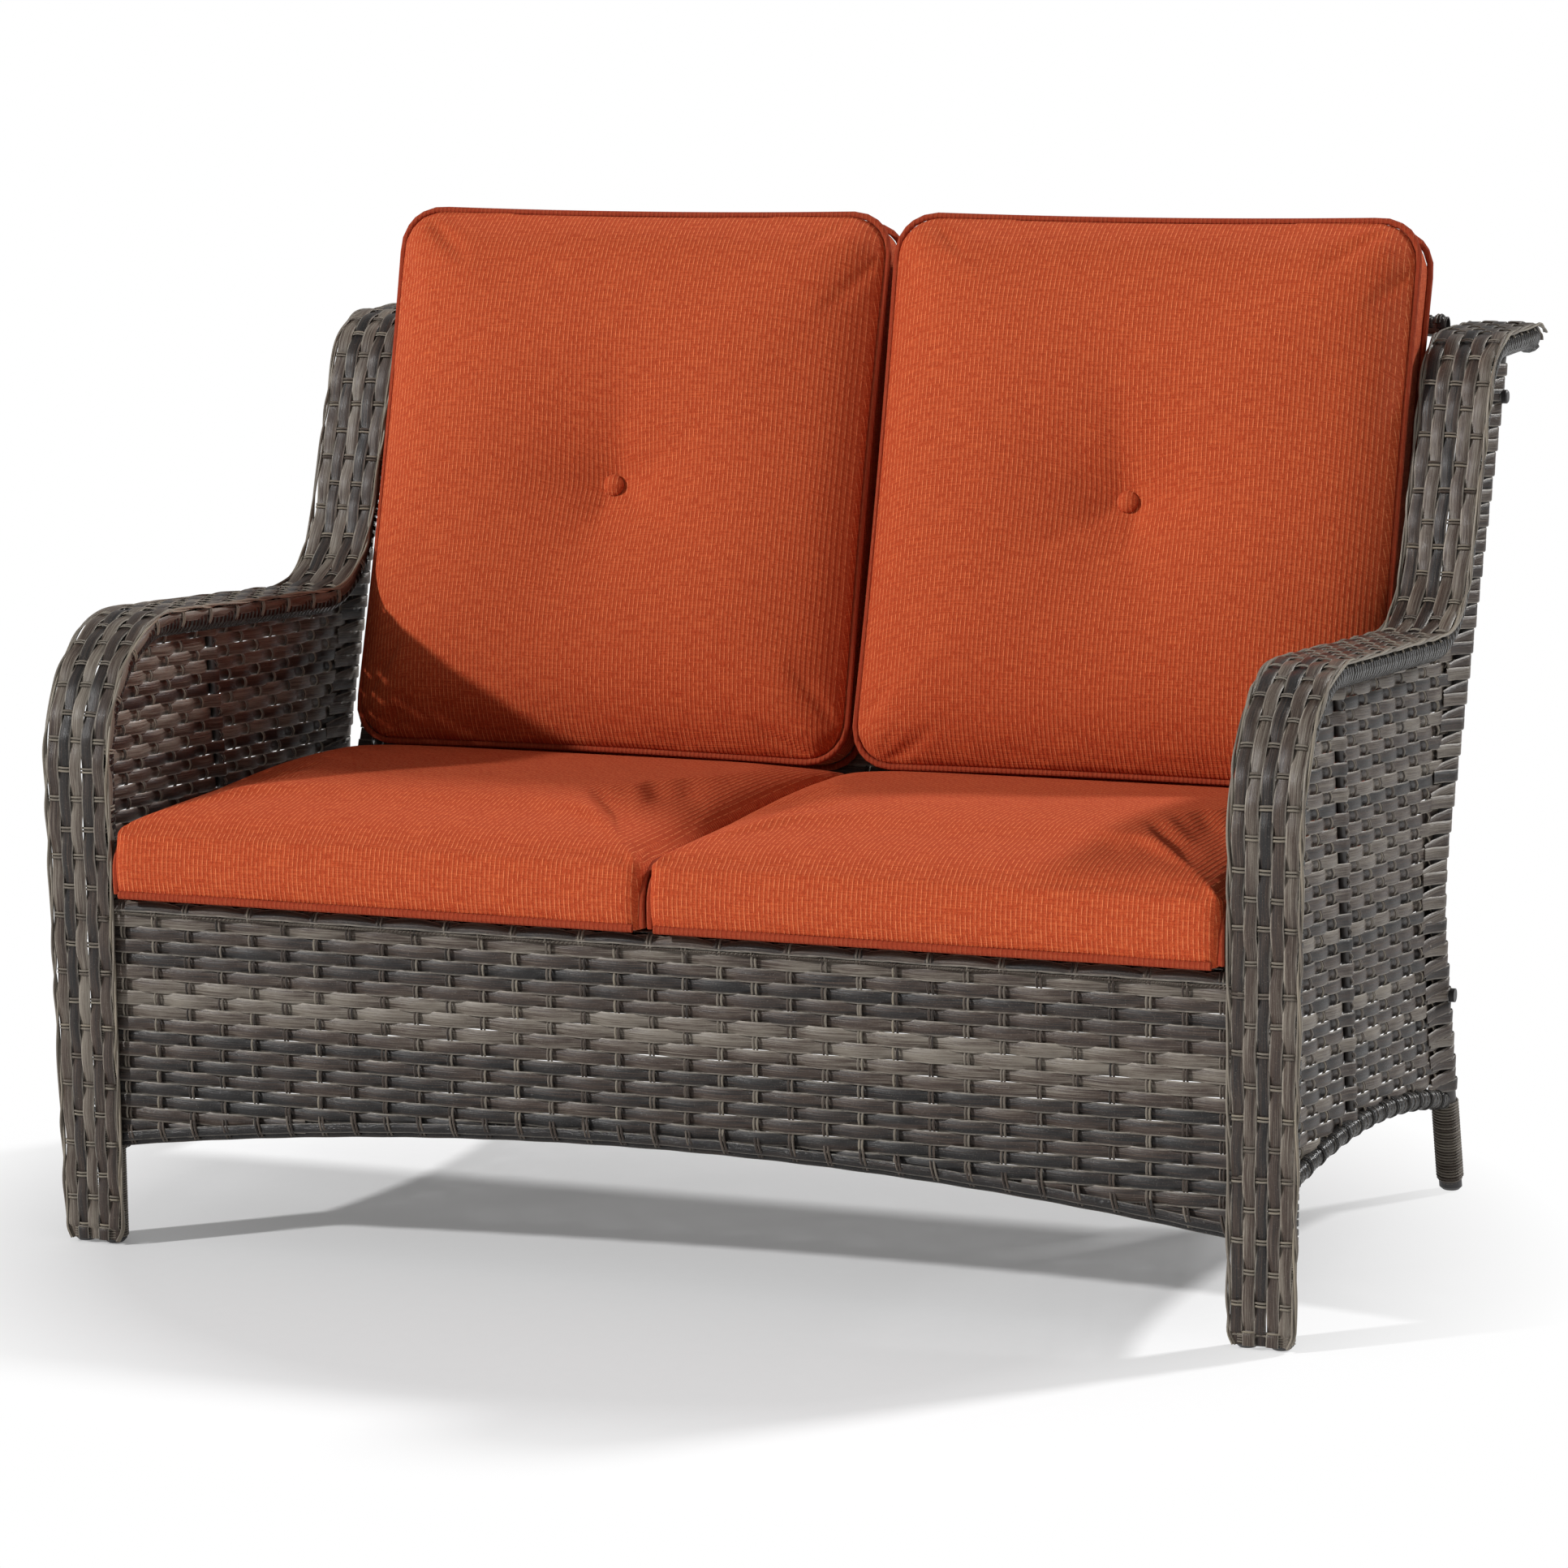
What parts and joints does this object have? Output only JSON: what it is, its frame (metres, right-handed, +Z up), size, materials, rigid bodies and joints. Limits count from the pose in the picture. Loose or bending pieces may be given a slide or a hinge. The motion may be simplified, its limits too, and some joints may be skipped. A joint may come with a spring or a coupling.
{
  "type": "patio loveseat",
  "caption": "Woven outdoor loveseat with rolled arms, an arched skirt and loose seat and back cushions on a steel tube frame.",
  "frame": {"origin": "on the floor, in the middle of the whole width and of the whole depth", "axes": "+X to the right as the seat is seen from the front, +Y from the front to the back, +Z up"},
  "size_m": [1.3254, 0.9322, 1.007],
  "materials": {
    "wicker": "flat polyethylene strands, finely grooved, mottled charcoal, grey and brown",
    "wicker_cord": "thin twisted polyethylene strand, grey khaki",
    "frame_steel": "dark brown powder coat on steel tube",
    "zinc_steel": "zinc plated",
    "black_plastic": "moulded black plastic",
    "cushion_fabric": "rust orange woven outdoor fabric with fine lengthwise ribs",
    "cushion_foam": "polyurethane foam with fibre wrap"
  },
  "bodies": {
    "frame": {"back_low_rail": "frame_steel", "back_spacers": "frame_steel", "back_top_rail": "frame_steel", "back_uprights": "frame_steel", "back_weave": "wicker", "bolt_caps": "black_plastic", "bolt_washers": "zinc_steel", "frame_bolts": "zinc_steel", "left_arm_band": "wicker", "left_arm_rungs": "frame_steel", "left_edge_cords": "wicker_cord", "left_front_feet": "black_plastic", "left_inner_arm_tube": "frame_steel", "left_outer_arm_tube": "frame_steel", "left_rear_foot": "black_plastic", "left_rear_leg": "frame_steel", "left_rear_leg_winding": "wicker_cord", "left_scroll_bar": "frame_steel", "left_side_arch_rail": "frame_steel", "left_side_panel": "wicker", "left_side_upright": "frame_steel", "right_arm_band": "wicker", "right_arm_rungs": "frame_steel", "right_edge_cords": "wicker_cord", "right_front_feet": "black_plastic", "right_inner_arm_tube": "frame_steel", "right_outer_arm_tube": "frame_steel", "right_rear_foot": "black_plastic", "right_rear_leg": "frame_steel", "right_rear_leg_winding": "wicker_cord", "right_scroll_bar": "frame_steel", "right_side_arch_rail": "frame_steel", "right_side_panel": "wicker", "right_side_upright": "frame_steel", "seat_cross_bars": "frame_steel", "seat_deck": "wicker", "seat_rear_rail": "frame_steel", "seat_side_rails": "frame_steel", "skirt_arch_rail": "frame_steel", "skirt_posts": "frame_steel", "skirt_top_rail": "frame_steel", "skirt_weave": "wicker"},
    "left_back_cushion": {"left_back_cushion_buttons": "cushion_fabric", "left_back_cushion_cover": "cushion_fabric", "left_back_cushion_foam": "cushion_foam", "left_back_cushion_tie": "cushion_fabric", "left_back_cushion_welts": "cushion_fabric"},
    "left_seat_cushion": {"left_seat_cushion_cover": "cushion_fabric", "left_seat_cushion_foam": "cushion_foam", "left_seat_cushion_welts": "cushion_fabric"},
    "right_back_cushion": {"right_back_cushion_buttons": "cushion_fabric", "right_back_cushion_cover": "cushion_fabric", "right_back_cushion_foam": "cushion_foam", "right_back_cushion_tie": "cushion_fabric", "right_back_cushion_welts": "cushion_fabric"},
    "right_seat_cushion": {"right_seat_cushion_cover": "cushion_fabric", "right_seat_cushion_foam": "cushion_foam", "right_seat_cushion_welts": "cushion_fabric"}
  },
  "joints": [
    {"name": "left_seat_cushion_lift_out", "type": "slide", "parent": "frame", "child": "left_seat_cushion", "axis": [0, -1, 0], "range_m": [0, 0.62]},
    {"name": "left_back_cushion_lift_out", "type": "slide", "parent": "frame", "child": "left_back_cushion", "axis": [0, 0, 1], "range_m": [0, 0.5]},
    {"name": "right_seat_cushion_lift_out", "type": "slide", "parent": "frame", "child": "right_seat_cushion", "axis": [0, -1, 0], "range_m": [0, 0.62]},
    {"name": "right_back_cushion_lift_out", "type": "slide", "parent": "frame", "child": "right_back_cushion", "axis": [0, 0, 1], "range_m": [0, 0.5]}
  ]
}
